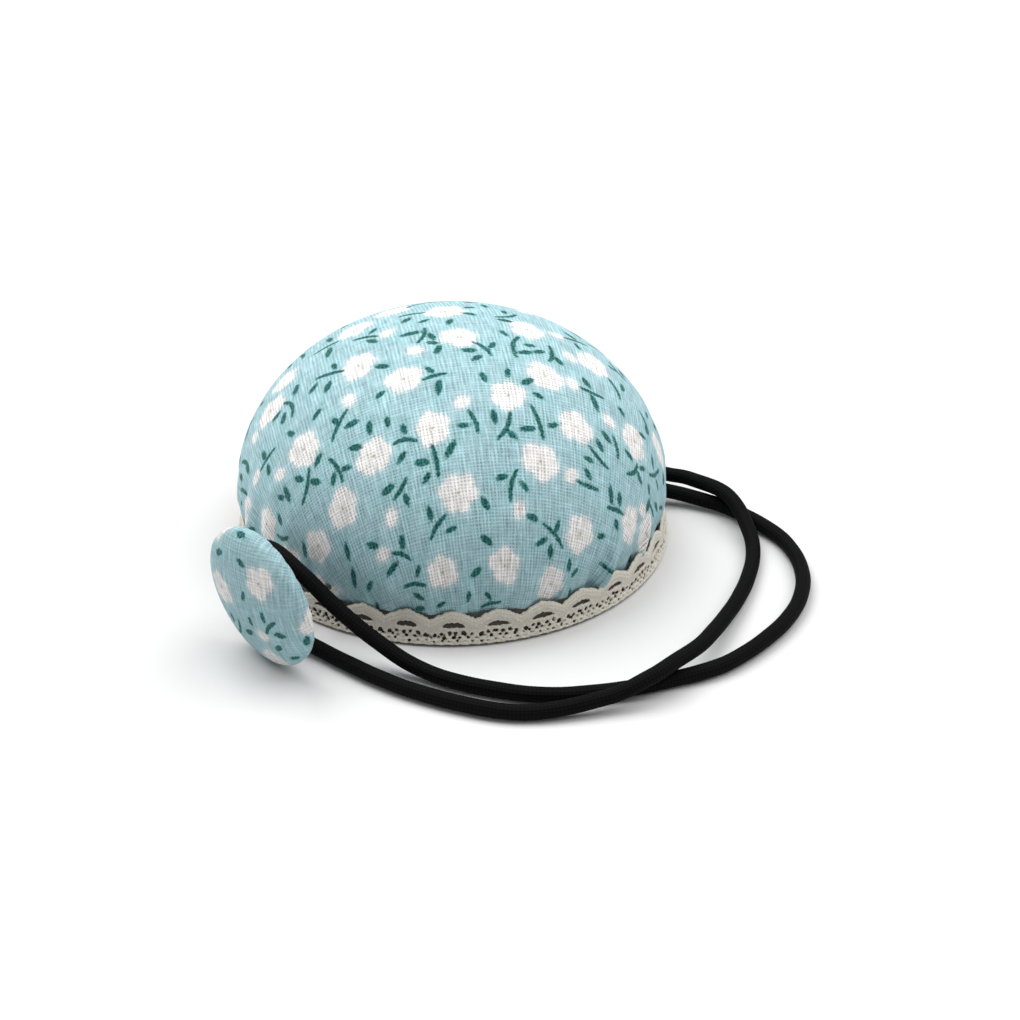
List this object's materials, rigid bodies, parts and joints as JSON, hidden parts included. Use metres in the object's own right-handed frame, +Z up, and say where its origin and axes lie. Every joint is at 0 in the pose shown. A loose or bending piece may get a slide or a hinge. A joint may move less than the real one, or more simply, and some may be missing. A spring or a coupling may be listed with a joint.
{
  "type": "wrist pin cushion",
  "caption": "Stuffed fabric dome on a board with a lace band, an elastic wrist loop and a cloth-covered button that the loop hooks round.",
  "frame": {"origin": "centre of the flat underside, on the surface that the cushion rests on", "axes": "+Z up out of the dome's crown, the button at the front left (-X, -Y), the elastic leaves the rim at +X"},
  "size_m": [0.0988, 0.0967, 0.0393],
  "materials": {
    "cover_print": "plain-weave cotton, pale blue with small white flowers and green leaves",
    "stuffing": "loose polyester fibre",
    "board": "grey board",
    "felt": "dark felt",
    "lace": "cream cotton crochet lace",
    "elastic": "black round elastic with a braided textile jacket",
    "thread_dark": "waxed sewing thread",
    "thread_pale": "sewing thread",
    "tape": "cloth tape",
    "button_metal": "pressed sheet",
    "shank_wire": "bright wire"
  },
  "bodies": {
    "cushion": {"base_pad": "felt", "base_board": "board", "fabric_cover": "cover_print", "fiber_stuffing": "stuffing", "gathering_thread": "thread_pale", "rim_band": "felt", "lace_trim": "lace", "elastic_strap": "elastic", "strap_tape": "tape", "anchor_stitches": "thread_dark"},
    "thread": {"button_thread": "thread_dark"},
    "shank": {"wire_shank": "shank_wire"},
    "button": {"button_backplate": "button_metal", "button_shell": "button_metal", "button_fabric": "cover_print"}
  },
  "joints": [
    {"name": "thread_swing", "type": "hinge", "parent": "cushion", "child": "thread", "pos_m": [-0.02061, -0.03299, 0.0078], "axis": [0, 0, 1], "range_deg": [-4, 4]},
    {"name": "button_nod", "type": "hinge", "parent": "thread", "child": "shank", "pos_m": [-0.02618, -0.03913, 0.01303], "axis": [0.6652, -0.7466, 0], "range_deg": [-8, 8]},
    {"name": "button_spin", "type": "hinge", "parent": "shank", "child": "button", "pos_m": [-0.0294, -0.042, 0.0125], "axis": [-0.7411, -0.6603, -0.1219], "range_deg": [-90, 90]}
  ]
}
